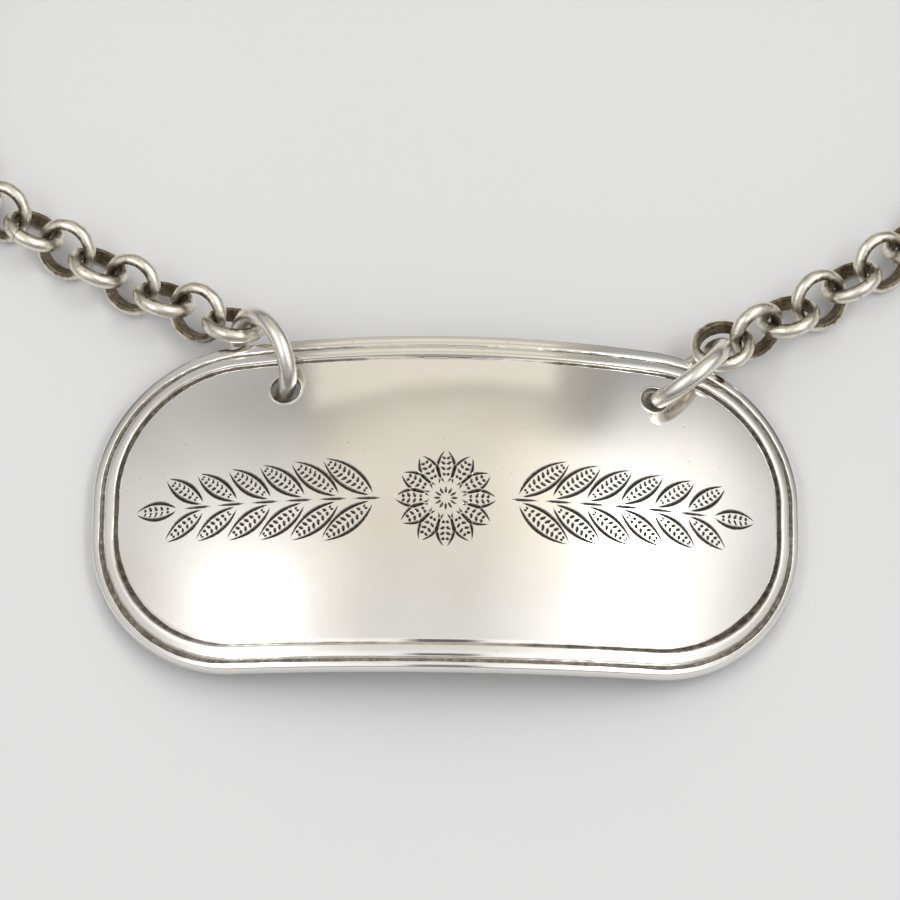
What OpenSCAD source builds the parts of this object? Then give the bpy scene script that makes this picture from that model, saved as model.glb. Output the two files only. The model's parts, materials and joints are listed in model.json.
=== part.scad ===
// A domed silver label for a bottle neck: a rounded plate with a reeded rim, two hanging rings
// and a neck chain of round D-section links, lying face up on a table at z = 0.
// Lengths are in millimetres and angles in degrees. The label's centre is over x = y = 0.

/* [Plate] */
// Width of the plate, end to end
plate_w = 46.1; // [44:0.1:52]
// Height of the plate, from its lower edge to its upper edge
plate_h = 22.6; // [21.6:0.1:25]
// Radius of the plate's rounded corners
corner_r = 9.85; // [9:0.05:10.3]
// Radius of the slightly bowed long sides
side_r = 396; // [250:1:800]
// Radius of the hollow back, which follows the bottle's shoulder
dome_r = 49; // [46:0.5:56]
// Thickness of the sheet in the field
field_t = 0.65; // [0.5:0.05:0.75]
// Thickness at the top of the rim's reeds
rim_t = 1; // [0.9:0.05:1.2]

/* [Rim grooves] */
// Distance from the edge to the middle of the groove between the two reeds
outer_groove = 0.7; // [0.6:0.02:0.8]
// Distance from the edge to the middle of the groove beside the field
inner_groove = 1.64; // [1.5:0.02:1.8]
// Width of a groove
groove_w = 0.3; // [0.2:0.02:0.4]
// Metal left under a groove
groove_floor = 0.55; // [0.4:0.05:0.6]

/* [Ring holes] */
// Diameter of the two holes that the rings pass through
hole_d = 2; // [1.9:0.05:2.4]
// From the plate's left end to the left hole
left_hole_end = 12.55; // [12:0.05:13]
// From the plate's right end to the right hole
right_hole_end = 9.55; // [9.2:0.05:10]
// From the plate's upper edge down to the left hole
left_hole_top = 3.65; // [3.5:0.05:3.8]
// From the plate's upper edge down to the right hole
right_hole_top = 3.75; // [3.6:0.05:3.9]

/* [Rings] */
// Radius of a ring to the middle of its wire
ring_r = 2.95; // [2.9:0.05:3.2]
// Diameter of the ring wire
ring_wire = 1.2; // [1:0.05:1.25]
// The left ring's compass direction, dip and sideways lean
left_ring_set = [123, 11.6, 24]; // [0:0.1:180]
// The right ring's compass direction, dip and sideways lean
right_ring_set = [42.9, 3.5, 21.4]; // [0:0.1:180]

/* [Chain links] */
// Opening of a link
link_bore = 3; // [2.95:0.05:3.2]
// Thickness of a link's D-section band
band_t = 0.65; // [0.55:0.05:0.7]
// Width of the band's flat inner face
band_w = 0.92; // [0.8:0.02:1]
// Spacing of the links along the chain
link_pitch = 2.54; // [2.5:0.02:2.6]
// Spacing of the first two links, which hang from the ring
first_pitch = 2.68; // [2.64:0.02:2.7]
// Links from the left ring to the loose end
left_links = 28; // [9:1:28]
// Links from the right ring to the loose end
right_links = 27; // [9:1:27]

/* [Lie of the chain] */
// Links on each side that lie in a nearly straight run
run_links = 6; // [4:1:7]
// Links on each side that lie in the curve of the loop
curve_links = 13; // [0:1:14]
// Direction of the first left link
left_way = 161; // [160:0.5:163]
// Turn from the first left link to the second
left_first_turn = -6.8; // [-8:0.1:-5]
// Turn from link to link in the left run
left_run_turn = -1.1; // [-2:0.1:0]
// Turn from link to link in the left curve
left_curve_turn = -11.2; // [-12:0.1:-8]
// How far the first left link sits along from the ring wire, and above it
left_seat = [0.45, 0]; // [-1:0.01:1]
// Dip of the first three left links
left_dips = [9.6, 11.5, 10]; // [0:0.1:20]
// Extra roll of the first three left links
left_rolls = [0, 0, 0]; // [-30:0.1:30]
// Direction of the first right link
right_way = 28; // [27:0.5:29]
// Turn from the first right link to the second
right_first_turn = 1.5; // [0:0.1:3]
// Turn from link to link in the right run
right_run_turn = 1.5; // [0:0.1:2.5]
// Turn from link to link in the right curve
right_curve_turn = 10.8; // [8:0.1:12]
// How far the first right link sits along from the ring wire, and above it
right_seat = [0.18, -0.04]; // [-1:0.01:1]
// Dip of the first three right links
right_dips = [5, 17.5, 9]; // [0:0.1:20]
// Extra roll of the first three right links
right_rolls = [-22.5, -16.5, -8]; // [-30:0.1:30]

/* [Hidden] */
$fn = 96;
left = 0;
right = 1;

// The corner arcs stand this far past touching the bowed long sides, so that they cross them
corner_lap = 0.02;
// Centres of the corner arcs
corner_x = plate_w / 2 - corner_r;
corner_y = plate_h / 2 - side_r + sqrt(pow(side_r - corner_r, 2) - pow(corner_x, 2)) + corner_lap;
// The dome's centre is set so that the hollow edge touches the table
dome_z = -sqrt(pow(dome_r, 2) - pow(norm([corner_x, corner_y]) + corner_r, 2));
// Taller than the dome, for cutting upright through it
tall = 2 * plate_h;

hole_x = [left_hole_end - plate_w / 2, plate_w / 2 - right_hole_end];
hole_y = [plate_h / 2 - left_hole_top, plate_h / 2 - right_hole_top];
ring_set = [left_ring_set, right_ring_set];

// The band is a round of radius band_round, cut flat inside at the link's opening
link_r = link_bore / 2;
band_round = (pow(band_w / 2, 2) + pow(band_t, 2)) / (2 * band_t);
band_mid = link_r + band_t - band_round;
// Links lie alternately rolled this far to either side
lie_roll = 45;
// Height of a link's centre when it lies on the table
lie_z = band_mid * sin(lie_roll) + band_round;

link_count = [left_links, right_links];
roll_sign = [1, -1];
way = [left_way, right_way];
first_turn = [left_first_turn, right_first_turn];
run_turn = [left_run_turn, right_run_turn];
curve_turn = [left_curve_turn, right_curve_turn];
seat = [left_seat, right_seat];
dips = [left_dips, right_dips];
rolls = [left_rolls, right_rolls];

// Unit vector that points along a compass direction and dips below the level
function along(turn, dip) = [cos(dip) * cos(turn), cos(dip) * sin(turn), -sin(dip)];

// Height of a sphere about the dome's centre, over a point of the table
function dome_height(r, x, y) = dome_z + sqrt(r * r - x * x - y * y);

// Middle of a hole, halfway through the sheet
function hole_mid(side) = [
    hole_x[side],
    hole_y[side],
    (dome_height(dome_r, hole_x[side], hole_y[side])
        + dome_height(dome_r + field_t, hole_x[side], hole_y[side])) / 2
];

// Middle of the ring wire at the far side of the ring from its hole
function ring_far(side) = hole_mid(side) + 2 * ring_r * along(ring_set[side][0], ring_set[side][1]);

// Links are numbered from 1 at the ring
function turn_to(side, n) =
    n == 2 ? first_turn[side] :
    n <= 2 + run_links ? run_turn[side] :
    n <= 2 + run_links + curve_links ? curve_turn[side] : 0;
function link_way(side, n) = n == 1 ? way[side] : link_way(side, n - 1) + turn_to(side, n);

// The fourth link takes the dip that brings the next one down on the table
function link_dip(side, n) =
    n <= 3 ? dips[side][n - 1] :
    n > 4 ? 0 :
    asin((link_mid(side, 3)[2] - link_pitch / 2 * sin(dips[side][2]) - lie_z) / link_pitch);
function link_roll(side, n) =
    roll_sign[side] * ((n % 2 == 1 ? lie_roll : -lie_roll) + (n <= 3 ? rolls[side][n - 1] : 0));
function link_along(side, n) = along(link_way(side, n), link_dip(side, n));
function spacing(n) = n == 2 ? first_pitch : link_pitch;
function link_mid(side, n) =
    n == 1
        ? ring_far(side) + seat[side][0] * link_along(side, 1) + [0, 0, seat[side][1]]
        : link_mid(side, n - 1) + spacing(n) / 2 * (link_along(side, n - 1) + link_along(side, n));

function two_digits(n) = str(n < 10 ? "0" : "", n);
function link_name(side, n) = str(side == left ? "left" : "right", "_link_", two_digits(n));

// The plate's outline, moved in from the edge: bowed long sides, straight ends, rounded corners
module outline(inset) {
    difference() {
        intersection() {
            square([plate_w - 2 * inset, plate_h], center = true);
            translate([0, plate_h / 2 - side_r])
                circle(r = side_r - inset, $fn = 720);
            translate([0, side_r - plate_h / 2])
                circle(r = side_r - inset, $fn = 720);
        }
        for (sx = [0, 1], sy = [0, 1])
            mirror([sx, 0])
                mirror([0, sy])
                    translate([corner_x, corner_y])
                        difference() {
                            square(2 * corner_r);
                            circle(r = corner_r - inset);
                        }
    }
}

module upright(inset) {
    linear_extrude(height = tall)
        outline(inset);
}

module dome(r) {
    translate([0, 0, dome_z])
        rotate([90, 0, 0])
            sphere(r = r, $fn = 240);
}

// A groove that follows the edge, cut down to the metal left under it
module rim_groove(inset) {
    difference() {
        upright(inset - groove_w / 2);
        upright(inset + groove_w / 2);
        dome(dome_r + groove_floor);
    }
}

module label_plate() {
    color([0.80, 0.80, 0.78])
        difference() {
            intersection() {
                dome(dome_r + rim_t);
                upright(0);
            }
            dome(dome_r);
            rim_groove(outer_groove);
            rim_groove(inner_groove);
            difference() {
                upright(inner_groove);
                dome(dome_r + field_t);
            }
            for (side = [left, right])
                translate([hole_x[side], hole_y[side], 0])
                    cylinder(d = hole_d, h = tall);
        }
}

module hanging_ring(side) {
    set = ring_set[side];
    color([0.78, 0.77, 0.74])
        translate(hole_mid(side))
            rotate([set[2], set[1], set[0]])
                translate([ring_r, 0, 0])
                    rotate([90, 0, 0])
                        rotate_extrude()
                            translate([ring_r, 0])
                                circle(d = ring_wire);
}

module left_ring() {
    hanging_ring(left);
}

module right_ring() {
    hanging_ring(right);
}

module chain_link(side, n) {
    color([0.72, 0.68, 0.62])
        translate(link_mid(side, n))
            rotate([link_roll(side, n), link_dip(side, n), link_way(side, n)])
                difference() {
                    rotate_extrude()
                        translate([band_mid, 0])
                            circle(r = band_round);
                    cylinder(r = link_r, h = 2 * band_w, center = true);
                }
}

label_plate();
left_ring();
right_ring();
for (side = [left, right])
    for (n = [1 : link_count[side]])
        chain_link(side, n);
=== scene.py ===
# %% [markdown]
# # A silver bottle label on its chain
# The label is a small domed plate of silver with a reeded rim. Two rings of round wire pass
# through holes near its upper edge, and a neck chain of round links starts from each ring. This
# lesson loads the solid model as a fixed frame, and then gives each piece the shape and finish
# that a silversmith leaves on it: worn reeds, cut ornament, burred holes and tarnish in the
# hollows.

# %% Load the frame
import json
import math
from collections import namedtuple

import bmesh
import bpy
import numpy as np
from mathutils import Matrix, Vector
from mathutils.geometry import delaunay_2d_cdt


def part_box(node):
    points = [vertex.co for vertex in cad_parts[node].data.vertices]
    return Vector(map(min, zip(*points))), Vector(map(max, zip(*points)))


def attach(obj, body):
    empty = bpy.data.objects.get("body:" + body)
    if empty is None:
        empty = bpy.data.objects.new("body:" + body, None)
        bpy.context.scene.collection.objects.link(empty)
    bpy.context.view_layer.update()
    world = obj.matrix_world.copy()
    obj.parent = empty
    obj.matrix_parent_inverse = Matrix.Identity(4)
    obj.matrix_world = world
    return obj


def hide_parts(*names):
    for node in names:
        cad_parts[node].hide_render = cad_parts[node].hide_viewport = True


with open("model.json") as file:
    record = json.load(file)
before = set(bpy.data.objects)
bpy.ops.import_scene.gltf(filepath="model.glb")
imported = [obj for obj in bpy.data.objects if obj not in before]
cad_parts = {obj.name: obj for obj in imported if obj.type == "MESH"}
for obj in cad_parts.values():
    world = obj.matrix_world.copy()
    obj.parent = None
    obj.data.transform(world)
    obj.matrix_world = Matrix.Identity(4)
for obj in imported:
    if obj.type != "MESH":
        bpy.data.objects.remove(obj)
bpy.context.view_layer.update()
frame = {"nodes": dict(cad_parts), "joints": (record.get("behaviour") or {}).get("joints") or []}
MM = 0.001
print("nodes in the frame:", len(frame["nodes"]))

# %% [markdown]
# ## The plate's sizes
# Everything on the plate follows from its width, its height and the radius of its hollow back.
# The width and height are read from the frame's own box, and the holes are where the two rings
# hang, so the dressed plate stays exactly on the solid one. Working in millimetres keeps the
# numbers readable.

# %% Sizes of the plate, in millimetres
plate_low, plate_high = (np.array(corner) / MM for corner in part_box("label_plate"))
HALF_W = (plate_high[0] - plate_low[0]) / 2
HALF_H = (plate_high[1] - plate_low[1]) / 2
CORNER_R = 9.85
SIDE_R = 396.0
DOME_R = 49.0
FIELD_T = 0.65
# The left hole, and the right one, whose wire needs less room
HOLE_RADII = (1.0, 0.88)

joint_places = {j["child"]: np.array(j["pos_m"]) / MM for j in frame["joints"]}
holes = [joint_places[ring][:2] for ring in ("left_ring", "right_ring")]

corner_x = HALF_W - CORNER_R
corner_y = HALF_H - SIDE_R + math.sqrt((SIDE_R - CORNER_R) ** 2 - corner_x**2)
dome_z = -math.sqrt(DOME_R**2 - (math.hypot(corner_x, corner_y) + CORNER_R) ** 2)
print("plate", 2 * HALF_W, "by", 2 * HALF_H, "mm; holes at", [h.round(2).tolist() for h in holes])

# %% [markdown]
# ## The outline
# The edge runs through straight ends, four corner arcs and two long sides with a slight bow. It
# could be drawn as a curve object, but here each point of it is worked out with its outward
# direction. Moving the points in along that direction gives every line of the rim, so the reeds
# and grooves stay parallel to the edge all the way round.

# %% Points and outward directions round the edge
EDGE_POINTS = 720
ARC_POINTS = 400


def edge_arcs():
    """The outline's arcs as (centre, radius, first angle, last angle), from the right end on."""
    bow = math.atan2(corner_y - HALF_H + SIDE_R, corner_x)
    half = math.pi
    return [
        ((corner_x, corner_y), CORNER_R, 0.0, bow),
        ((0.0, HALF_H - SIDE_R), SIDE_R, bow, half - bow),
        ((-corner_x, corner_y), CORNER_R, half - bow, half),
        ((-corner_x, -corner_y), CORNER_R, half, half + bow),
        ((0.0, SIDE_R - HALF_H), SIDE_R, half + bow, 2 * half - bow),
        ((corner_x, -corner_y), CORNER_R, 2 * half - bow, 2 * half),
    ]


def unit(vectors):
    return vectors / np.linalg.norm(vectors, axis=-1, keepdims=True)


def edge_table(count):
    """Evenly spaced points on the edge, their outward directions, and the length of the edge."""
    points, ways = [], []
    for centre, radius, start, end in edge_arcs():
        for angle in np.linspace(start, end, ARC_POINTS):
            way = np.array([math.cos(angle), math.sin(angle)])
            points.append(np.array(centre) + radius * way)
            ways.append(way)
    points = np.array(points + points[:1])
    ways = np.array(ways + ways[:1])
    run = np.concatenate([[0], np.cumsum(np.linalg.norm(np.diff(points, axis=0), axis=1))])
    wanted = np.linspace(0, run[-1], count, endpoint=False)

    def pick(table):
        return np.stack([np.interp(wanted, run, table[:, k]) for k in (0, 1)], axis=1)

    return pick(points), unit(pick(ways)), run[-1]


edge, outward, edge_length = edge_table(EDGE_POINTS)


def inset_line(inset):
    return edge - inset * outward


def on_dome(xy, rise):
    """Points over xy that stand rise above the hollow back."""
    z = dome_z + np.sqrt((DOME_R + rise) ** 2 - np.sum(xy**2, axis=1))
    return np.column_stack([xy, z])


print("the edge is", round(edge_length, 1), "mm round")

# %% [markdown]
# ## A mesh from arrays
# Polished metal shows every wrong normal, so the plate carries its own normals. This helper makes
# a mesh object from points and faces, can take one normal for each face corner, and stores
# numbers for the points that the finishes read later, such as how far tarnish reaches.


# %% Make a mesh object from arrays
def make_piece(name, points, faces, corner_normals=None, numbers=None, finish_index=None):
    mesh = bpy.data.meshes.new(name)
    mesh.from_pydata((np.asarray(points) * MM).tolist(), [], [list(map(int, f)) for f in faces])
    mesh.polygons.foreach_set("use_smooth", [True] * len(mesh.polygons))
    for key, values in (numbers or {}).items():
        layer = mesh.attributes.new(key, "FLOAT", "POINT")
        layer.data.foreach_set("value", np.asarray(values, dtype=np.float32))
    if finish_index is not None:
        mesh.polygons.foreach_set("material_index", np.asarray(finish_index, dtype=np.int32))
    if corner_normals is not None:
        mesh.normals_split_custom_set(np.asarray(corner_normals).tolist())
    mesh.update()
    piece = bpy.data.objects.new(name, mesh)
    bpy.context.scene.collection.objects.link(piece)
    return piece


def grid_faces(rows, columns):
    """Faces of a grid whose columns close into a loop, facing out for rows that run inwards."""
    faces = []
    for r in range(rows - 1):
        here, there = r * columns, (r + 1) * columns
        for c in range(columns):
            d = (c + 1) % columns
            faces.append((here + c, here + d, there + d, there + c))
    return faces


def grid_normals(rows):
    """Smooth normals of a grid of points (rows, columns, 3) that is closed along its columns."""
    along = np.roll(rows, -1, axis=1) - np.roll(rows, 1, axis=1)
    across = np.gradient(rows, axis=0)
    return unit(np.cross(along, across))


# %% [markdown]
# ## The wear along the rim
# The rim is two flat reeds, parted by lines cut with a graver. One line lies between the reeds
# and one beside the field. Polishing has nearly closed them in the middle of the top and thinned
# the inner one along the bottom, mostly to the left. At the lower corners they are wider, and at
# the lower right the graver slipped and cut the inner one wider still. Two numbers along the edge
# hold all this: how much of a groove's width is left, and how much of its tarnish.

# %% How much of each groove is left along the edge
Groove = namedtuple("Groove", "inset drift half_w depth top_wear bottom_wear slip")
GROOVES = (
    Groove(0.69, 0.12, half_w=0.18, depth=0.18, top_wear=0.70, bottom_wear=0.10, slip=0.0),
    Groove(1.61, 0.0, half_w=0.18, depth=0.11, top_wear=0.70, bottom_wear=0.40, slip=0.5),
)
# The most rubbed place of the top, how far rubbing reaches to each side, and what it takes away
RUBBED_X = 0.5
RUBBED_REACH = (3.5, 8.0)
RUBBED_WIDTH = 0.35
RUBBED_TARNISH = 0.75
TOP_TARNISH = 0.10
# Where the bottom begins to be spared from wear, and by how much
SPARED_X = (2.0, 8.5)
SPARED_SHARE = 0.85
CORNER_SWELL = 0.35
# A groove's edges wander a little, in long waves and in short ones
RAGGED = 0.09
RAGGED_SHORT = 0.025
# Powers of the outward direction that pick out the top, the bottom and one corner
TOP_POWER, BOTTOM_POWER, SLIP_POWER = 10, 6, 6
CLEANED_POWER = 1.5


def soft_step(value, low, high):
    t = np.clip((value - low) / (high - low), 0, 1)
    return t * t * (3 - 2 * t)


rightward, upward = outward[:, 0], outward[:, 1]
slipped = (2 * np.clip(rightward, 0, 1) * np.clip(-upward, 0, 1)) ** SLIP_POWER


def groove_left(groove):
    """How much of a groove's width and of its tarnish is left along the edge, where 1 is all."""
    turn = np.linspace(0, 2 * math.pi, EDGE_POINTS, endpoint=False)
    ragged = RAGGED * np.sin(17 * turn + groove.inset) * np.sin(29 * turn)
    ragged = ragged + RAGGED_SHORT * np.sin(113 * turn)
    rubbed = 1 - soft_step(abs(edge[:, 0] - RUBBED_X), *RUBBED_REACH)
    spared = SPARED_SHARE * soft_step(edge[:, 0], *SPARED_X)
    top = np.clip(upward, 0, 1) ** TOP_POWER
    bottom_worn = groove.bottom_wear * np.clip(-upward, 0, 1) ** BOTTOM_POWER * (1 - spared)
    worn = groove.top_wear * top * (1 - RUBBED_WIDTH + RUBBED_WIDTH * rubbed) + bottom_worn
    low_corner = np.clip(-2 * abs(rightward) * upward, 0, 1)
    width = 1 - worn + ragged + CORNER_SWELL * low_corner + groove.slip * slipped
    cleaned_top = top * (TOP_TARNISH + RUBBED_TARNISH * rubbed)
    return width, (1 - bottom_worn) ** CLEANED_POWER * (1 - cleaned_top) + ragged


grooves_left = [groove_left(groove) for groove in GROOVES]
print("narrowest groove:", [round(width.min(), 2) for width, _ in grooves_left], "of its width")

# %% [markdown]
# ## The reeded rim
# A height that depends on the distance in from the edge describes the whole rim: a level band
# with a rounded edge, a slight crown on each reed, a step down to the field with a soft shoulder,
# and the two cuts. Sweeping that profile round the edge gives the mesh. A bevelled curve could do
# it too, but not with wear that changes along it. The maker drew the rim narrower at its right
# end, and the outer cut drifts towards the lower edge. The number called tarnish says how much
# dirt each point can hold.

# %% Sweep the rim's profile round the edge
REED_T = 1.0
REED_MIDDLES = (0.40, 1.15)
REED_HALF_W = 0.36
REED_CROWN = 0.035
EDGE_ROUND = 0.12
EDGE_DROP = 0.28
EDGE_ROWS = 14
BACK_ROUND = 0.06
STEP_START, STEP_END = 1.46, 1.64
# The shoulder is deepest at the lower right and dies away at the upper left
SHOULDER_DROP = 0.055
SHOULDER_ALL, SHOULDER_RIGHT, SHOULDER_LOW = 0.35, 0.4, 0.5
SLIP_SHIFT = 0.10
FIELD_INSET = 2.0
ROW_STEP = 0.025
RIGHT_END_NARROWS = 0.19

# How wide the rim is drawn along the edge, where 1 is its full width
rim_width = 1 - RIGHT_END_NARROWS * np.clip(outward[:, :1], 0, 1) ** 2


def rim_rise(inset):
    """Height above the hollow back at a distance in from the edge, before the grooves are cut."""
    rounding = 1 - np.sqrt(1 - np.clip(1 - inset / EDGE_ROUND, 0, 1) ** 2)
    off_crown = min(abs(inset - middle) for middle in REED_MIDDLES) / REED_HALF_W
    reed = REED_T - EDGE_DROP * rounding - REED_CROWN * min(off_crown, 1.0) ** 2
    return reed + (FIELD_T - reed) * soft_step(inset, STEP_START, STEP_END)


def rim_rows():
    """Lines of points from the back of the edge to the field, and the tarnish they hold."""
    lean = SHOULDER_ALL + SHOULDER_RIGHT * rightward - SHOULDER_LOW * upward
    shoulder = SHOULDER_DROP * np.clip(lean, 0, 1)
    rounded = EDGE_ROUND * (1 - np.cos(np.linspace(0, math.pi / 2, EDGE_ROWS)))
    level = np.arange(EDGE_ROUND + ROW_STEP, FIELD_INSET, ROW_STEP)
    rows = [on_dome(inset_line(BACK_ROUND), 0.0), on_dome(inset_line(0.0), 2 * BACK_ROUND)]
    tarnish = [np.zeros(EDGE_POINTS)] * 2
    for inset in (*rounded, *level, FIELD_INSET):
        rise, held = np.full(EDGE_POINTS, rim_rise(inset)), np.zeros(EDGE_POINTS)
        past_step = 1 - soft_step(inset, STEP_END, FIELD_INSET)
        rise -= shoulder * soft_step(inset, STEP_START, STEP_END) * past_step
        for groove, (width, dark) in zip(GROOVES, grooves_left):
            middle = groove.inset + groove.drift * upward + SLIP_SHIFT * groove.slip * slipped
            off = np.minimum(abs(inset - middle) / (groove.half_w * width), 1.0)
            rise -= groove.depth * width * np.cos(off * math.pi / 2)
            held += dark * (1 - off)
        rows.append(on_dome(inset_line(inset * rim_width), rise))
        tarnish.append(held)
    return np.array(rows), np.array(tarnish)


rim, rim_tarnish = rim_rows()
rim_normals = grid_normals(rim)
print("rim of", len(rim), "lines,", rim.shape[1], "points each")

# %% [markdown]
# ## The graver's cuts
# The middle of the field carries ornament cut with a graver. Each cut is a V-shaped channel that
# swells from a point and dies away again. A bump map can suggest that, but real channels catch
# the light from every side, so each cut has a level outline and a middle line that lies deeper.


# %% One cut
class Cut:
    """One tapered V cut along a bowed line."""

    def __init__(self, start, end, width, bow=0.0, depth=0.08, steps=3):
        start, end = np.array(start, float), np.array(end, float)
        line = end - start
        side = np.array([-line[1], line[0]]) / np.linalg.norm(line)
        t = np.linspace(0, 1, steps + 2)
        swell = np.sin(math.pi * t**0.8) ** 0.7
        self.middle = start + np.outer(t, line) + np.outer(4 * t * (1 - t) * bow, side)
        half = np.outer(width / 2 * swell, side)
        to_end, back = (self.middle - half)[1:-1], (self.middle + half)[-2:0:-1]
        self.outline = np.concatenate([self.middle[:1], to_end, self.middle[-1:], back])
        self.depths = depth * swell


print("a short cut has", len(Cut((0, 0), (1, 0), 0.2).outline), "points in its outline")

# %% [markdown]
# ## Laurel and patera
# A patera of petals between two laurel sprays is a common pattern for silver of this kind. A leaf
# or petal is two bowed cuts for its edges and a herringbone of short ones between them. Both
# could be drawn by hand as curves, but one leaf in code, turned and scaled, gives the whole
# ornament.

# %% Draw the ornament
EDGE_CUT_W, EDGE_CUT_DEPTH, EDGE_CUT_STEPS = 0.29, 0.12, 9
# How far a leaf's two edge cuts stand from its middle line at its foot and at its tip
LEAF_FOOT, LEAF_TIP = 0.07, 0.04
HATCH_W, HATCH_DEPTH, HATCH_STEP = 0.25, 0.10, 0.37
# Hatches keep clear of the foot, the tip, the middle line and the edge cuts
HATCH_FROM_FOOT, HATCH_FROM_TIP, HATCH_FROM_MIDDLE, HATCH_FROM_EDGE = 0.55, 0.45, 0.02, 0.13
HATCH_SHORTEST = 0.10
HATCH_LEAN = 0.55


def leaf(base, way, long, wide):
    """Cuts of one leaf that grows from base along the unit vector way."""
    side = np.array([-way[1], way[0]])
    cuts = []
    for hand in (1, -1):
        foot = base + LEAF_FOOT * hand * side
        tip = base + long * way + LEAF_TIP * hand * side
        bow = hand * wide / 2
        cuts.append(Cut(foot, tip, EDGE_CUT_W, bow, EDGE_CUT_DEPTH, EDGE_CUT_STEPS))
        for at in np.arange(HATCH_FROM_FOOT, long - HATCH_FROM_TIP, HATCH_STEP):
            t = at / long
            room = 2 * t * (1 - t) * wide - HATCH_FROM_EDGE
            if room > HATCH_SHORTEST:
                start = base + at * way + HATCH_FROM_MIDDLE * hand * side
                end = start + room * (HATCH_LEAN * way + hand * side)
                cuts.append(Cut(start, end, HATCH_W, depth=HATCH_DEPTH))
    return cuts


PETALS = 12
PETAL_FROM, PETAL_TO, PETAL_W = 1.0, 3.3, 0.98
PECK_FROM, PECK_TO, PECK_W, PECK_DEPTH = 0.30, 0.82, 0.20, 0.07


def patera():
    """Petals round an open eye, with a ring of pecks in it."""
    cuts = []
    for angle in np.arange(PETALS) * 2 * math.pi / PETALS:
        way = np.array([math.cos(angle), math.sin(angle)])
        cuts += leaf(PETAL_FROM * way, way, PETAL_TO - PETAL_FROM, PETAL_W)
        cuts.append(Cut(PECK_FROM * way, PECK_TO * way, PECK_W, depth=PECK_DEPTH))
    return cuts


LEAF_PAIRS = 6
FIRST_PAIR, PAIR_STEP = 4.7, 2.2
LEAF_LONG, LEAF_WIDE, LEAF_SHRINKS = 4.1, 1.22, 0.05
LEAF_LEAN = math.radians(38)
LEAF_OFF_STEM = 0.24
END_LEAF_LONG, END_LEAF_WIDE, END_LEAF_BACK = 2.7, 1.0, 0.5
# Each pair has its own stem cut, which starts before the pair and ends short of the next
STEM_W, STEM_BEFORE, STEM_SHORT = 0.22, 0.6, 0.9


def spray(hand):
    """A laurel spray to one side: leaves in pairs on a stem, which shrink towards its tip."""
    cuts = []
    mirror = np.array([hand, 1.0])
    along_stem = mirror * [1, 0]
    for k in range(LEAF_PAIRS):
        size = 1 - LEAF_SHRINKS * k
        foot = FIRST_PAIR + k * PAIR_STEP
        stem_from, stem_to = foot - STEM_BEFORE, foot + PAIR_STEP - STEM_SHORT
        cuts.append(Cut(stem_from * along_stem, stem_to * along_stem, STEM_W))
        for up in (1, -1):
            way = np.array([math.cos(LEAF_LEAN), up * math.sin(LEAF_LEAN)]) * mirror
            base = np.array([foot, LEAF_OFF_STEM * up]) * mirror
            cuts += leaf(base, way, LEAF_LONG * size, LEAF_WIDE * size)
    end_foot = FIRST_PAIR + LEAF_PAIRS * PAIR_STEP - END_LEAF_BACK
    return cuts + leaf(np.array([end_foot, 0]) * mirror, along_stem, END_LEAF_LONG, END_LEAF_WIDE)


ORNAMENT_DROP = 0.2
cuts = patera() + spray(1) + spray(-1)
for cut in cuts:
    cut.middle[:, 1] -= ORNAMENT_DROP
    cut.outline[:, 1] -= ORNAMENT_DROP
print("cuts in the field:", len(cuts))

# %% [markdown]
# ## The field
# The field is a piece of a sphere with cuts and two holes in it. Hammering leaves the dome a
# little uneven and the drill leaves a burr round each hole. Both are small changes in height, and
# their slope gives the true normals.

# %% Height and slope of the field
UNEVEN = 0.0016
UNEVEN_SHORT = 0.0008
BURR_RISE = 0.018
BURR_AWAY = 0.03
BURR_REACH = 0.055
SLOPE_STEP = 0.004


def field_rise(xy):
    x, y = xy[:, 0], xy[:, 1]
    rise = FIELD_T + UNEVEN * np.sin(0.55 * x + 0.4) * np.sin(0.62 * y + 1.1)
    rise = rise + UNEVEN_SHORT * np.sin(1.25 * x - 0.7 * y)
    for hole, hole_r in zip(holes, HOLE_RADII):
        r = np.hypot(x - hole[0], y - hole[1])
        around = np.arctan2(y - hole[1], x - hole[0])
        burr = BURR_RISE * (1 + 0.45 * np.sin(2 * around + hole[0]) + 0.2 * np.sin(5 * around))
        rise = rise + burr * np.exp(-(((r - hole_r - BURR_AWAY) / BURR_REACH) ** 2))
    return rise


def field_points(xy):
    return on_dome(xy, field_rise(xy))


def field_normals(xy):
    dx, dy = np.array([SLOPE_STEP, 0]), np.array([0, SLOPE_STEP])
    along = field_points(xy + dx) - field_points(xy - dx)
    across = field_points(xy + dy) - field_points(xy - dy)
    return unit(np.cross(along, across))


print("the dome's top is", round(field_points(np.zeros((1, 2)))[0, 2], 2), "mm above the table")

# %% [markdown]
# ## The field's triangles
# A grid would need millions of faces to follow the cuts. The flat plan is split into triangles
# instead, with every outline kept, and then lifted on to the dome. Blender has this split built
# in: it takes points, lines and areas, and says which triangles lie in which area.

# %% Split the plan into triangles
HOLE_POINTS = 64
GRID_STEP = 0.55
GRID_CLEAR = 0.22
SAME_POINT = 1e-5
# Rings of points that follow the burr, by their distance from the hole, each with fewer points
BURR_RINGS = (0.02, 0.05, 0.09, 0.13, 0.18, 0.25, 0.40)
BURR_FEWER = 4


def circle(centre, radius, count):
    a = np.linspace(0, 2 * math.pi, count, endpoint=False)
    return np.array(centre) + radius * np.column_stack([np.cos(a), np.sin(a)])


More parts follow.
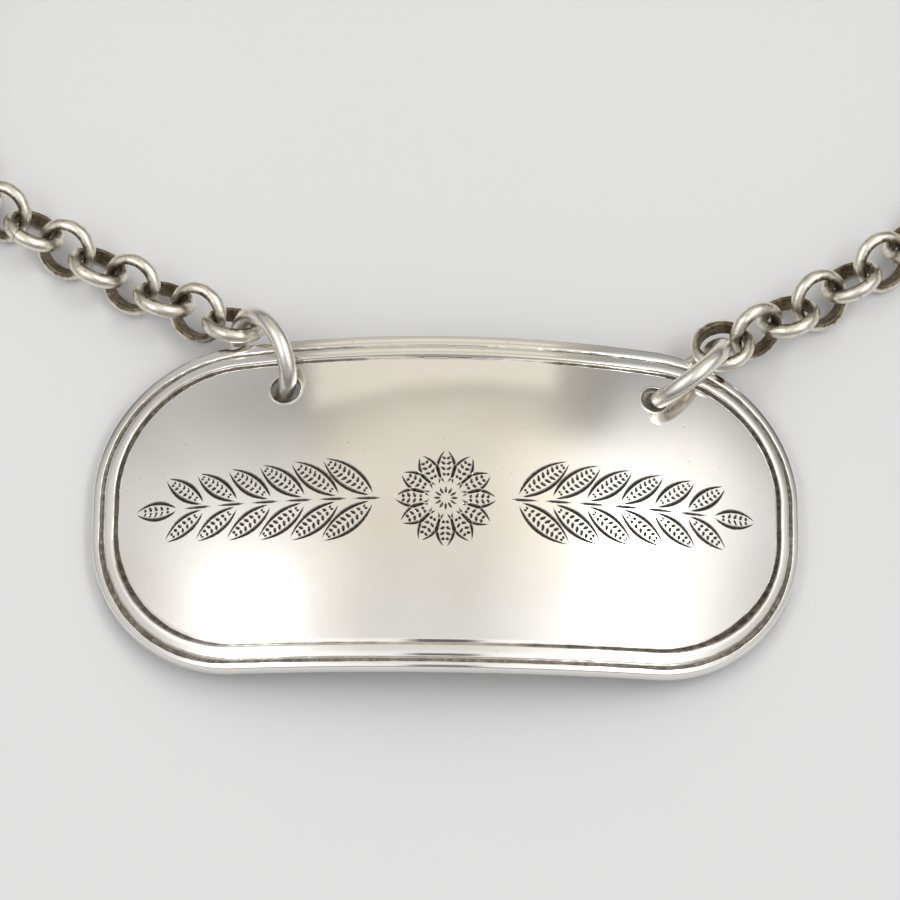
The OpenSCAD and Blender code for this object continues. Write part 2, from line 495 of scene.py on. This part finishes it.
class Plan:
    """A border, holes in it and other marks, to be split into triangles."""

    def __init__(self, border):
        self.points, self.depths, self.lines, self.areas = [], [], [], []
        self.area(border)
        for hole, hole_r in zip(holes, HOLE_RADII):
            self.area(circle(hole, hole_r, HOLE_POINTS))
        self.first_cut = len(self.areas)

    def add(self, points, depths=None):
        first = len(self.points)
        self.points += [tuple(p) for p in points]
        self.depths += list(np.zeros(len(points)) if depths is None else depths)
        return list(range(first, len(self.points)))

    def area(self, points):
        self.areas.append(self.add(points))

    def cut(self, cut):
        self.area(cut.outline)
        index = self.add(cut.middle[1:-1], cut.depths[1:-1])
        self.lines += list(zip(index, index[1:]))

    def fill(self, border_x, border_y):
        """Plain points in rows, kept clear of every mark."""
        grid = np.array([
            (x + GRID_STEP / 2 * (k % 2), y)
            for k, y in enumerate(np.arange(-border_y, border_y, GRID_STEP))
            for x in np.arange(-border_x, border_x, GRID_STEP)
        ])
        marks = np.array(self.points)
        apart = np.array([np.min(np.sum((marks - p) ** 2, axis=1)) for p in grid])
        self.add(grid[apart > GRID_CLEAR**2])

    def triangles(self):
        """Plan points, their depths, the faces inside the border, and which faces lie in cuts."""
        flat, _, faces, from_points, _, from_areas = delaunay_2d_cdt(
            [Vector(p) for p in self.points], self.lines, self.areas, 0, SAME_POINT
        )
        depth = [max((self.depths[i] for i in source), default=0.0) for source in from_points]
        border, holed = 0, set(range(1, self.first_cut))
        kept = [k for k, area in enumerate(from_areas) if border in area and not holed & set(area)]
        in_cut = [max(from_areas[k]) >= self.first_cut for k in kept]
        used, corners = np.unique([faces[k] for k in kept], return_inverse=True)
        plan_points = np.array([tuple(flat[k]) for k in used])
        return plan_points, np.array(depth)[used], corners.reshape(-1, 3), np.array(in_cut)


plan = Plan(inset_line(FIELD_INSET * rim_width)[::2])
for hole, hole_r in zip(holes, HOLE_RADII):
    for k, away in enumerate(BURR_RINGS):
        plan.add(circle(hole, hole_r + away, HOLE_POINTS - BURR_FEWER * k))
for cut in cuts:
    plan.cut(cut)
plan.fill(HALF_W, HALF_H)
field_xy, field_depth, field_faces, cut_face = plan.triangles()
print("field of", len(field_faces), "triangles,", int(cut_face.sum()), "of them in cuts")

# %% [markdown]
# ## One plate
# The rim, the field, the hollow back and the walls of the holes become one mesh, because they are
# one piece of silver. The back is split as the field was, without the cuts. The corners of a face
# in a cut take the face's own normal, so that each wall of the V stays flat and flashes by
# itself.


# %% Gather the plate's surfaces
class Joined:
    """Surfaces that are gathered into one mesh."""

    def __init__(self):
        self.points, self.faces, self.normals, self.tarnish, self.finish = [], [], [], [], []

    def add(self, xyz, faces, corner_normals, tarnish=None, finish=0):
        first = sum(len(p) for p in self.points)
        self.points.append(xyz)
        self.faces += (np.asarray(faces) + first).tolist()
        self.normals += np.asarray(corner_normals).reshape(-1, 3).tolist()
        self.tarnish.append(np.zeros(len(xyz)) if tarnish is None else tarnish)
        self.finish += np.broadcast_to(finish, len(faces)).tolist()


# The walls of the holes are drawn darker than the field: each wall point takes a fixed share of
# the grooves' dark finish
HOLE_WALL_DARKENING = 0.42
joined = Joined()

rim_faces = np.array(grid_faces(*rim.shape[:2]))
rim_corners = rim_normals.reshape(-1, 3)[rim_faces]
joined.add(rim.reshape(-1, 3), rim_faces, rim_corners, rim_tarnish.reshape(-1))

field_xyz = field_points(field_xy)
field_xyz[:, 2] -= field_depth
a, b, c = field_xyz[field_faces].transpose(1, 0, 2)
wall_normals = unit(np.cross(b - a, c - a))
field_corners = field_normals(field_xy)[field_faces]
field_corners[cut_face] = wall_normals[cut_face][:, None, :]
in_depth = (field_depth > 0).astype(float)
joined.add(field_xyz, field_faces, field_corners, in_depth, cut_face.astype(int))

back_plan = Plan(inset_line(BACK_ROUND))
back_plan.fill(HALF_W, HALF_H)
back_xy, _, back_faces, _ = back_plan.triangles()
back_xyz = on_dome(back_xy, 0.0)
back_normals = -unit(back_xyz - [0, 0, dome_z])
joined.add(back_xyz, back_faces[:, ::-1], back_normals[back_faces[:, ::-1]])

for hole, hole_r in zip(holes, HOLE_RADII):
    lip = circle(hole, hole_r, HOLE_POINTS)
    wall = np.concatenate([field_points(lip), on_dome(lip, 0.0)])
    wall_faces = np.array(grid_faces(2, HOLE_POINTS))
    inwards = np.column_stack([hole - lip, np.zeros(HOLE_POINTS)]) / hole_r
    wall_corners = np.tile(inwards, (2, 1))[wall_faces]
    joined.add(wall, wall_faces, wall_corners, np.full(len(wall), HOLE_WALL_DARKENING))
print("surfaces joined:", len(joined.points))

# %% Make the plate
plate = make_piece(
    "label_silver_plate",
    np.concatenate(joined.points),
    joined.faces,
    joined.normals,
    {"tarnish": np.concatenate(joined.tarnish)},
    joined.finish,
)
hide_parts("label_plate")
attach(plate, "label_plate")
print("plate of", len(plate.data.polygons), "faces")

# %% [markdown]
# ## Where a ring or link lies
# Each ring and link is a round thing, so its place is a centre and an axis. Both can be read from
# the frame: the centre is the middle of its points, and the axis is the direction in which they
# spread least. That way the dressed pieces need no list of places of their own. Both kinds are
# wire bent round, so they share the helpers that lay its points and faces, and the shallow dents
# that years of knocking leave in it.


# %% Helpers for bent wire
def round_place(node):
    """A round node's centre and three directions, the first of which is its axis."""
    mesh = frame["nodes"][node].data
    flat_points = np.empty(3 * len(mesh.vertices))
    mesh.vertices.foreach_get("co", flat_points)
    found = np.unique((flat_points.reshape(-1, 3) / MM).round(4), axis=0)
    centre = (found.min(axis=0) + found.max(axis=0)) / 2
    directions = np.linalg.eigh(np.cov((found - found.mean(axis=0)).T))[1]
    return centre, directions.T


def full_turn(count):
    return np.linspace(0, 2 * math.pi, count, endpoint=False)


def dents(turns, sides, phase):
    """Shallow hollows all over a ring of wire, from 0 to 1."""
    a, b = full_turn(turns)[:, None], full_turn(sides)[None, :]
    return 0.5 + 0.5 * np.sin(7 * a + 1.3 * phase + 2 * b) * np.sin(4 * a - 0.7 * phase - b)


def bump_at(angles, middle, width):
    """A soft bump of height 1 round one angle of a ring."""
    return np.exp(-((np.angle(np.exp(1j * (angles - middle))) / width) ** 2))


def wire_points(centre, across, other, axis, radius, height):
    """Points of a bent wire, from the radius and height of each point of each of its sections."""
    a = full_turn(len(radius))[:, None, None]
    spoke = np.cos(a) * across + np.sin(a) * other
    return (centre + radius[..., None] * spoke + height[..., None] * axis).reshape(-1, 3)


def wire_faces(turns, sides):
    faces = []
    for i in range(turns):
        here, there = i * sides, (i + 1) % turns * sides
        for j in range(sides):
            k = (j + 1) % sides
            faces.append((here + j, there + j, there + k, here + k))
    return np.array(faces)


print("the left ring's centre is", round_place("left_ring")[0].round(2), "mm")

# %% [markdown]
# ## The hanging rings
# A ring is a length of round wire, bent and soldered. A torus primitive would be too perfect: the
# wire here changes thickness a little, is dented, and has a faint swelling at the solder joint.
# The number called wear runs from the inside of the ring to its outside, which handling keeps
# bright.

# %% Bend the ring wire
RING_R = 2.95
RING_WIRE_R = 0.6
RING_TURNS, RING_SIDES = 160, 40
RING_DENT = 0.022
# The wire is this share of its full thickness, with a long and a short wave in it
WIRE_SHARE, WIRE_WAVE, WIRE_SHORT_WAVE = 0.985, 0.010, 0.004
SOLDER_RISE, SOLDER_WIDTH = 0.008, 0.10
# Corners in an order that turns a face out, for the two hands that the directions can have
RIGHT_HAND, LEFT_HAND = [1, 2, 3, 0], [0, 3, 2, 1]


def ring_mesh(name, node, solder_turn):
    centre, (axis, across, other) = round_place(node)
    a, b = full_turn(RING_TURNS), full_turn(RING_SIDES)
    share = WIRE_SHARE + WIRE_WAVE * np.sin(3 * a + solder_turn) + WIRE_SHORT_WAVE * np.sin(11 * a)
    wire = RING_WIRE_R * share + SOLDER_RISE * bump_at(a, solder_turn, SOLDER_WIDTH)
    wire = wire[:, None] * (1 - RING_DENT * dents(RING_TURNS, RING_SIDES, solder_turn))
    points = wire_points(centre, across, other, axis, RING_R + wire * np.cos(b), wire * np.sin(b))
    right_handed = np.dot(np.cross(across, other), axis) > 0
    faces = wire_faces(RING_TURNS, RING_SIDES)[:, RIGHT_HAND if right_handed else LEFT_HAND]
    wear = np.tile(0.5 + 0.5 * np.cos(b), RING_TURNS)
    piece = make_piece(name, points, faces, numbers={"wear": wear})
    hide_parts(node)
    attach(piece, node)
    return piece


rings = [
    ring_mesh("left_ring_wire", "left_ring", 2.2),
    ring_mesh("right_ring_wire", "right_ring", 0.9),
]
print("rings made:", [r.name for r in rings])

# %% [markdown]
# ## The links' section
# Each link is a band of D-section wire: half round outside and flat inside, with softened
# corners. The outside is polished by handling, and the flat inside keeps its tarnish. One section
# serves all the links. The number called wear runs from the flat inside to the crown of the band,
# and the finish uses it to let the tarnish fade out.

# %% Draw the band's section
LINK_BORE_R = 1.5
BAND_T = 0.65
BAND_HALF_W = 0.46
ARC_STEPS, FLAT_STEPS = 22, 6
CORNER_SOFT = 0.05
# The flat stands just outside the bore, and each softened corner a little further out
FLAT_OUT, CORNER_OUT, CORNER_IN = 0.004, 0.015, 0.3
band_round = (BAND_HALF_W**2 + BAND_T**2) / (2 * BAND_T)
band_mid = LINK_BORE_R + BAND_T - band_round


def band_section():
    """Radius and height round the band's section."""
    end = math.acos((LINK_BORE_R + CORNER_SOFT - band_mid) / band_round)
    a = np.linspace(-end, end, ARC_STEPS)
    arc = np.column_stack([band_mid + band_round * np.cos(a), band_round * np.sin(a)])
    top = arc[-1, 1]
    flat_r = LINK_BORE_R + FLAT_OUT
    flat_z = np.linspace(top - CORNER_SOFT, -top + CORNER_SOFT, FLAT_STEPS)
    flat = np.column_stack([np.full(FLAT_STEPS, flat_r), flat_z])
    corner_z = top - CORNER_IN * CORNER_SOFT
    corners = np.array([[flat_r + CORNER_OUT, corner_z], [flat_r + CORNER_OUT, -corner_z]])
    return np.concatenate([arc, corners[:1], flat, corners[1:]])


section = band_section()
section_wear = np.clip((section[:, 0] - LINK_BORE_R) / BAND_T, 0, 1)
print("band section of", len(section), "points")

# %% [markdown]
# ## The chain links
# A link could be one mesh shared by all, but real links are closed one by one. Each has its seam
# at another angle, with a faint dip, a slight wave in its thickness and its own dents.

# %% Bend the links
LINK_TURNS = 72
LINK_DENT = 0.04
LINK_WAVE = 0.004
SEAM_STEP, SEAM_WIDTH, SEAM_DIP, SEAM_WEAR = 2.4, 0.035, 0.006, 0.5


def link_mesh(node, number):
    centre, (axis, across, _) = round_place(node)
    other = np.cross(axis, across)
    a = full_turn(LINK_TURNS)
    seam = bump_at(a, SEAM_STEP * number, SEAM_WIDTH)
    even = 1 - SEAM_DIP * seam + LINK_WAVE * np.sin(2 * a + number)
    swell = even[:, None] - LINK_DENT * dents(LINK_TURNS, len(section), number)
    radius = LINK_BORE_R + (section[:, 0] - LINK_BORE_R) * swell
    points = wire_points(centre, across, other, axis, radius, section[:, 1] * swell)
    wear = np.outer(1 - SEAM_WEAR * seam, section_wear)
    faces = wire_faces(LINK_TURNS, len(section))
    piece = make_piece(node + "_band", points, faces, numbers={"wear": wear.reshape(-1)})
    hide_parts(node)
    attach(piece, node)
    return piece


link_nodes = sorted(n for n in frame["nodes"] if "_link_" in n)
links = [link_mesh(node, k) for k, node in enumerate(link_nodes)]
print("links made:", len(links))

# %% [markdown]
# ## Shader sums that read as sums
# A finish is a small graph of nodes. Wiring it by hand hides the idea, so this class wraps one
# socket and turns Python's operators into Math nodes. One method makes every other node from its
# type, its settings and the values of its sockets.


# %% A socket with operators
class Sock:
    def __init__(self, finish, socket):
        self.finish, self.socket = finish, socket

    def __add__(self, other):
        return self.finish.math("ADD", self, other)

    def __sub__(self, other):
        return self.finish.math("SUBTRACT", self, other)

    def __rsub__(self, other):
        return self.finish.math("SUBTRACT", other, self)

    def __mul__(self, other):
        return self.finish.math("MULTIPLY", self, other)

    __radd__ = __add__
    __rmul__ = __mul__


class Finish:
    """The node graph of one material or of the world."""

    def __init__(self, tree):
        self.tree = tree
        tree.nodes.clear()

    def make(self, kind, settings=None, inputs=None, out=0):
        node = self.tree.nodes.new(kind)
        for key, value in (settings or {}).items():
            setattr(node, key, value)
        for key, value in (inputs or {}).items():
            if isinstance(value, Sock):
                self.tree.links.new(value.socket, node.inputs[key])
            else:
                node.inputs[key].default_value = value
        return Sock(self, node.outputs[out]) if node.outputs else None

    def math(self, operation, a, b=0.0):
        return self.make("ShaderNodeMath", {"operation": operation}, {0: a, 1: b})

    def smooth(self, value, low, high):
        """0 below low, 1 above high, with a soft step between."""
        return self.make(
            "ShaderNodeMapRange",
            {"interpolation_type": "SMOOTHSTEP"},
            {"Value": value, "From Min": low, "From Max": high},
        )

    def below(self, value, low, high):
        """1 below low, 0 above high, with a soft step between."""
        return 1 - self.smooth(value, low, high)

    def span(self, value, rise, fall):
        """1 between a soft rise and a soft fall, and 0 outside them."""
        return self.smooth(value, *rise) * self.below(value, *fall)

    def mix(self, factor, a, b):
        return self.make("ShaderNodeMix", {"data_type": "RGBA"}, {0: factor, 6: a, 7: b}, out=2)

    def stretch(self, vector, scale):
        return self.make("ShaderNodeVectorMath", {"operation": "MULTIPLY"}, {0: vector, 1: scale})

    def number(self, name):
        """A number that the mesh carries for its points."""
        return self.make("ShaderNodeAttribute", {"attribute_name": name}, out=2)

    def place(self, scale=1.0):
        """Where the point is on the object, in millimetres times scale."""
        return self.stretch(self.make("ShaderNodeTexCoord", out=3), (scale / MM,) * 3)

    def noise(self, scale, detail=3.0, rough=0.55):
        inputs = {"Vector": self.place(scale), "Scale": 1.0, "Detail": detail, "Roughness": rough}
        return self.make("ShaderNodeTexNoise", None, inputs)


def colour(r, g, b):
    return (r, g, b, 1.0)


def new_material(name):
    material = bpy.data.materials.new(name)
    material.use_nodes = True
    return material, Finish(material.node_tree)


def metal_output(f, base, rough, height, bump, distance):
    """Bare metal, with a bump whose height is given in millimetres by distance."""
    bumps = {"Strength": bump, "Distance": distance * MM, "Height": height}
    inputs = {"Base Color": base, "Metallic": 1.0, "Roughness": rough}
    inputs["Normal"] = f.make("ShaderNodeBump", None, bumps)
    shader = f.make("ShaderNodeBsdfPrincipled", None, inputs)
    f.make("ShaderNodeOutputMaterial", None, {"Surface": shader})


print("finishes can be written")

# %% [markdown]
# ## Polished silver
# The plate has been polished for two centuries. It is bright and nearly smooth, with hair
# scratches in all directions, a few small pits and a warm bloom. In the grooves the tarnish is
# dark and matt. Long thin noise makes the scratches, and the tarnish number from the mesh carries
# the dark lines of the rim and of the ornament. Painted maps could hold the same, but noise stays
# sharp at any distance.

# %% Finish of the plate
SILVER_CLEAN = colour(0.905, 0.875, 0.83)
SILVER_BLOOM = colour(0.88, 0.845, 0.785)
PIT_DARK = colour(0.30, 0.27, 0.23)
TARNISH_DARK = colour(0.155, 0.138, 0.117)
TARNISH_PALE = colour(0.40, 0.365, 0.32)
# Noise scales, in waves to the millimetre
BLOOM_SCALE, NICK_SCALE, PIT_SCALE = 0.22, 3.0, 3.4
# Where each noise, or the tarnish number, begins to count and where it counts in full
BLOOM_STEP, PIT_STEP = (0.42, 0.72), (0.765, 0.79)
TARNISH_STEP, PALE_STEP = (0.06, 0.72), (0.38, 0.66)
NICKED = 0.5
ROUGH_CLEAN, ROUGH_BLOOM, ROUGH_TARNISH, ROUGH_PIT = 0.042, 0.03, 0.58, 0.25
PIT_STAIN, PIT_HEIGHT = 0.5, 2.0
SCRATCH_WAYS, SCRATCH_TURN, SCRATCH_STEP = 3, 0.4, 1.9
SCRATCH_SHAPE = (0.25, 26.0, 1.0)


def scratches(f):
    """Hair lines in a few directions, as one height."""
    lines = 0.0
    for k in range(SCRATCH_WAYS):
        turned = f.make(
            "ShaderNodeVectorRotate",
            {"rotation_type": "Z_AXIS"},
            {"Vector": f.place(), "Angle": SCRATCH_TURN + SCRATCH_STEP * k},
        )
        hair = {"Vector": f.stretch(turned, SCRATCH_SHAPE), "Scale": 1.0, "Detail": 2.0}
        lines = f.make("ShaderNodeTexNoise", None, hair) + lines
    return lines


def plate_finish():
    material, f = new_material("polished_silver")
    bloom = f.smooth(f.noise(BLOOM_SCALE, 4.0), *BLOOM_STEP)
    nicks = f.noise(NICK_SCALE, 4.0, 0.7)
    dark_line = f.smooth(f.number("tarnish") + NICKED * (nicks - 0.5), *TARNISH_STEP)
    tarnish = f.mix(f.smooth(nicks, *PALE_STEP), TARNISH_DARK, TARNISH_PALE)
    pits = f.smooth(f.noise(PIT_SCALE, 1.0), *PIT_STEP)
    clean = f.mix(bloom, SILVER_CLEAN, SILVER_BLOOM)
    pitted = f.mix(pits * PIT_STAIN, clean, PIT_DARK)
    rough = ROUGH_CLEAN + ROUGH_BLOOM * bloom + ROUGH_TARNISH * dark_line + ROUGH_PIT * pits
    height = scratches(f) + PIT_HEIGHT * pits
    metal_output(f, f.mix(dark_line, pitted, tarnish), rough, height, bump=0.09, distance=0.01)
    return material


plate.data.materials.append(plate_finish())
print("plate's first finish:", plate.data.materials[0].name)

# %% [markdown]
# ## The cuts' own finish
# A fresh cut is bright, and its chatter marks break the light. Old ones keep black at the bottom,
# where no cloth reaches. The faces in cuts were given the plate's second finish when they were
# made.

# %% Finish of the cuts
CUT_BRIGHT = colour(0.80, 0.775, 0.735)
CUT_BLACK = colour(0.10, 0.087, 0.072)
CHATTER_SCALE, CHATTERED = 8.0, 0.7
BLACK_STEP = (0.08, 0.60)
ROUGH_CUT, ROUGH_BLACK = 0.15, 0.25


def cut_finish():
    material, f = new_material("bright_cut_silver")
    chatter = f.noise(CHATTER_SCALE, 2.0, 0.6)
    black = f.smooth(f.number("tarnish") + CHATTERED * (chatter - 0.5), *BLACK_STEP)
    base = f.mix(black, CUT_BRIGHT, CUT_BLACK)
    metal_output(f, base, ROUGH_CUT + ROUGH_BLACK * black, chatter, bump=0.35, distance=0.04)
    return material


plate.data.materials.append(cut_finish())
print("plate finishes:", [m.name for m in plate.data.materials])

# %% [markdown]
# ## Rings and chain
# The rings are polished wire, duller than the plate and grey where they rub. The chain is warmer:
# its crowns are bright, and its flat insides are brown and olive with old tarnish. Both read the
# wear number from their meshes, break its edge with noise and have patches of grime over it, so
# that no two links look alike.

# %% Finish of the rings and links
Wire = namedtuple("Wire", "bright dull stain clean_step rough_bright rough_dull grimy")
RING_WIRE = Wire(
    bright=colour(0.845, 0.81, 0.74),
    dull=colour(0.60, 0.56, 0.49),
    stain=colour(0.74, 0.70, 0.62),
    clean_step=(0.10, 0.75),
    rough_bright=0.27,
    rough_dull=0.34,
    grimy=0.25,
)
CHAIN_WIRE = Wire(
    bright=colour(0.84, 0.79, 0.68),
    dull=colour(0.12, 0.094, 0.06),
    stain=colour(0.26, 0.212, 0.14),
    clean_step=(0.18, 0.62),
    rough_bright=0.30,
    rough_dull=0.42,
    grimy=0.42,
)
PATCH_SCALE, SPECK_SCALE, GRIME_SCALE = 1.0, 4.0, 2.2
# How much the patches and specks break the edge of the clean metal, and how high they stand
PATCH_BREAKS, SPECK_BREAKS = 0.70, 0.20
PATCH_HEIGHT, SPECK_HEIGHT = 2.0, 0.4
SPECK_STAINS = 0.5
GRIME_STEP, STAIN_STEP = (0.50, 0.70), (0.55, 0.95)


def wire_finish(name, wire):
    material, f = new_material(name)
    patch = f.noise(PATCH_SCALE, 3.0, 0.55)
    speck = f.noise(SPECK_SCALE, 2.0, 0.5)
    broken = f.number("wear") + PATCH_BREAKS * (patch - 0.5) + SPECK_BREAKS * (speck - 0.5)
    grime = f.smooth(f.noise(GRIME_SCALE, 4.0, 0.65), *GRIME_STEP)
    clean = f.smooth(broken, *wire.clean_step) * (1 - wire.grimy * grime)
    mottled = f.mix(f.smooth(patch + SPECK_STAINS * speck, *STAIN_STEP), wire.dull, wire.stain)
    rough = wire.rough_dull + (wire.rough_bright - wire.rough_dull) * clean
    height = SPECK_HEIGHT * speck + PATCH_HEIGHT * patch
    metal_output(f, f.mix(clean, mottled, wire.bright), rough, height, bump=0.12, distance=0.03)
    return material


ring_finish = wire_finish("ring_silver_wire", RING_WIRE)
chain_finish = wire_finish("chain_silver_band", CHAIN_WIRE)
for piece in rings:
    piece.data.materials.append(ring_finish)
for piece in links:
    piece.data.materials.append(chain_finish)
print("chain and ring finishes set on", len(rings) + len(links), "pieces")

# %% [markdown]
# ## The table
# The label lies on a plain pale table. One large plane is enough, with a little grain in its
# colour so that it isn't a flat tone. It lies a hair below the pieces, so that no face of theirs
# lies in it. It belongs to the stage and not to the object.

# %% Lay the table
TABLE_HALF = 3.0
TABLE_DROP = 0.00002
TABLE_TONES = (colour(0.732, 0.735, 0.743), colour(0.751, 0.754, 0.763))
TABLE_GRAIN = 0.02


def lay_table():
    mesh = bpy.data.meshes.new("table")
    shape = bmesh.new()
    bmesh.ops.create_grid(shape, x_segments=1, y_segments=1, size=TABLE_HALF)
    shape.to_mesh(mesh)
    shape.free()
    table = bpy.data.objects.new("table", mesh)
    table.location.z = -TABLE_DROP
    bpy.context.scene.collection.objects.link(table)
    material, f = new_material("pale_table")
    base = f.mix(f.noise(TABLE_GRAIN, 4.0), *TABLE_TONES)
    shader = f.make("ShaderNodeBsdfPrincipled", None, {"Base Color": base, "Roughness": 0.85})
    f.make("ShaderNodeOutputMaterial", None, {"Surface": shader})
    mesh.materials.append(material)


lay_table()
print("table of", 2 * TABLE_HALF, "m laid")

# %% [markdown]
# ## The studio
# A domed mirror shows the whole studio, so the light is drawn as the sky of the scene: a soft box
# to the left and one to the right, each with a strong lamp in its middle, a cream card that
# stands behind with a little light under it, dim corners beside it, and the dark shape of the
# camera in front. The front and the foot of the room are dim, so that the shadows stay close to
# the label. Each thing is a soft step on the direction that a ray takes, where x is to the right,
# y away from the camera and z up. Lamps would do for the shading, but only a drawn studio gives
# these reflections their edges.

# %% The walls, by the direction of a ray
WALL = 0.78


def walls(f, x, y, across):
    """The plain room: paler in front, dimmer towards its far corners and its sides."""
    corners = f.smooth(across, 0.20, 0.38) * f.smooth(y, 0.25, 0.60)
    corners = corners * (1 - 0.5 * f.smooth(across, 0.45, 0.65))
    fall = 0.03 * f.smooth(y, 0.15, 0.40) - 0.22 * f.smooth(y, 0.36, 0.62)
    left_strip = f.span(x, (-0.76, -0.66), (-0.46, -0.36)) * f.smooth(y, 0.36, 0.42)
    even_left = 0.55 * (y - 0.475) * left_strip
    sides = 0.20 * corners + 0.10 * f.smooth(across, 0.58, 0.80)
    far_right = 0.13 * f.smooth(x, 0.50, 0.70) * f.smooth(y, 0.28, 0.50)
    front = 0.20 * f.below(y, -0.40, -0.08)
    return WALL + fall + even_left - sides - far_right + front


print("walls at a level of", WALL)

# %% The soft boxes and the lamps in them
BOX_LEVEL = 0.55
LAMP_LEVEL = 5.0
BOX_FOOT = (-0.62, -0.40)
LAMP_FOOT = (-0.30, -0.12)


def soft_boxes(f, x, y):
    left_box = f.span(x, (-0.82, -0.56), (-0.54, -0.16)) * f.below(y, 0.06, 0.40)
    beside_card = f.smooth(y, 0.43, 0.55) * f.below(x, 0.36, 0.47)
    right_box = f.span(x, (0.04, 0.48), (0.56, 0.84)) * f.below(y, 0.40, 0.70)
    right_box = right_box * (1 - beside_card)
    left_lamp = f.span(x, (-0.64, -0.55), (-0.48, -0.39)) * f.below(y, 0.02, 0.16)
    right_lamp = f.span(x, (0.34, 0.43), (0.53, 0.62)) * f.below(y, 0.22, 0.38)
    lamps = LAMP_LEVEL * (left_lamp + right_lamp) * f.smooth(y, *LAMP_FOOT)
    return (BOX_LEVEL * (left_box + right_box) + lamps) * f.smooth(y, *BOX_FOOT)


print("soft boxes add", BOX_LEVEL, "and lamps", LAMP_LEVEL)

# %% The card, the light under it and the whole room
CARD_MIDDLE, CARD_FOOT, CARD_BOW = 0.08, 0.618, 0.40
CARD_LEVEL, CARD_FALL, CARD_FALL_FROM = 0.83, 0.25, -0.08
GLOW = 0.065
GLOW_MIDDLE = 0.03
CAMERA_DARK = 0.85
FRONT_DIM, LOW_DIM = 0.44, 0.30
WHITE = colour(1.0, 1.0, 1.0)
CREAM = colour(1.0, 0.965, 0.865)
BACKDROP = colour(0.76, 0.76, 0.76)


def light_studio():
    world = bpy.data.worlds.new("studio")
    world.use_nodes = True
    bpy.context.scene.world = world
    f = Finish(world.node_tree)
    way = f.make("ShaderNodeTexCoord")
    parts = f.make("ShaderNodeSeparateXYZ", None, {0: way}).socket.node.outputs
    x, y, z = (Sock(f, part) for part in parts)
    across = f.math("ABSOLUTE", x)

    above_foot = y - (CARD_FOOT - CARD_BOW * (x - CARD_MIDDLE) * (x - CARD_MIDDLE))
    card = f.smooth(above_foot, -0.005, 0.005) * f.span(x, (-0.345, -0.315), (0.255, 0.28))
    card = card * f.smooth(z, 0.60, 0.66)
    card_level = CARD_LEVEL - CARD_FALL * f.math("MAXIMUM", CARD_FALL_FROM - x)
    under_card = f.below(f.math("ABSOLUTE", x - GLOW_MIDDLE), 0.12, 0.26) * f.smooth(y, 0.40, 0.52)
    glow = GLOW * under_card * f.below(above_foot, -0.05, -0.03)

    camera = f.below(across, 0.07, 0.12) * f.span(y, (-0.70, -0.58), (-0.40, -0.29))
    dim_front = FRONT_DIM + (1 - FRONT_DIM) * f.smooth(y, -0.75, -0.45)
    dim_low = LOW_DIM + (1 - LOW_DIM) * f.smooth(z, 0.08, 0.50)
    room = walls(f, x, y, across) + soft_boxes(f, x, y) + glow
    room = room * dim_front * dim_low * (1 - CAMERA_DARK * camera)
    level = room + card * (card_level - room)

    warmth = f.below(across, 0.27, 0.42) * f.smooth(y, -0.05, 0.25)
    tint = f.mix(warmth, WHITE, CREAM)
    studio = f.make("ShaderNodeVectorMath", {"operation": "SCALE"}, {0: tint, "Scale": level})
    seen = f.mix(f.make("ShaderNodeLightPath"), studio, BACKDROP)
    background = f.make("ShaderNodeBackground", None, {"Color": seen, "Strength": 1.0})
    f.make("ShaderNodeOutputWorld", None, {"Surface": background})
    print("studio of", len(world.node_tree.nodes), "nodes lit")


light_studio()

# %% [markdown]
# ## The camera
# The camera looks down at the label from in front, close enough for a little perspective. Its aim
# is the top of the dome, and a small shift puts that point where it belongs in the picture.

# %% Set the camera
LOOK_DOWN = math.radians(71.5)
CAMERA_AWAY = 300.0
PIXELS_PER_MM = 15.6
FRAME_PIXELS = 900
APEX_PIXEL = (445.8, 494.8)
ROLL = math.radians(0.8)
NEAREST = 0.01


def set_camera():
    apex = Vector((0, 0, (dome_z + DOME_R + FIELD_T) * MM))
    back = Vector((0, -math.cos(LOOK_DOWN), math.sin(LOOK_DOWN)))
    data = bpy.data.cameras.new("camera")
    data.sensor_fit = "HORIZONTAL"
    data.angle = 2 * math.atan(FRAME_PIXELS / 2 / PIXELS_PER_MM / CAMERA_AWAY)
    data.shift_x = (FRAME_PIXELS / 2 - APEX_PIXEL[0]) / FRAME_PIXELS
    data.shift_y = (APEX_PIXEL[1] - FRAME_PIXELS / 2) / FRAME_PIXELS
    data.clip_start = NEAREST
    camera = bpy.data.objects.new("camera", data)
    stand = Matrix.Translation(apex + back * CAMERA_AWAY * MM)
    aim = (-back).to_track_quat("-Z", "Y").to_matrix().to_4x4()
    camera.matrix_world = stand @ aim @ Matrix.Rotation(ROLL, 4, "Z")
    bpy.context.scene.collection.objects.link(camera)
    bpy.context.scene.camera = camera
    print("camera", CAMERA_AWAY, "mm away, view", round(math.degrees(data.angle), 1), "degrees")


set_camera()
bpy.context.scene.view_settings.view_transform = "Standard"
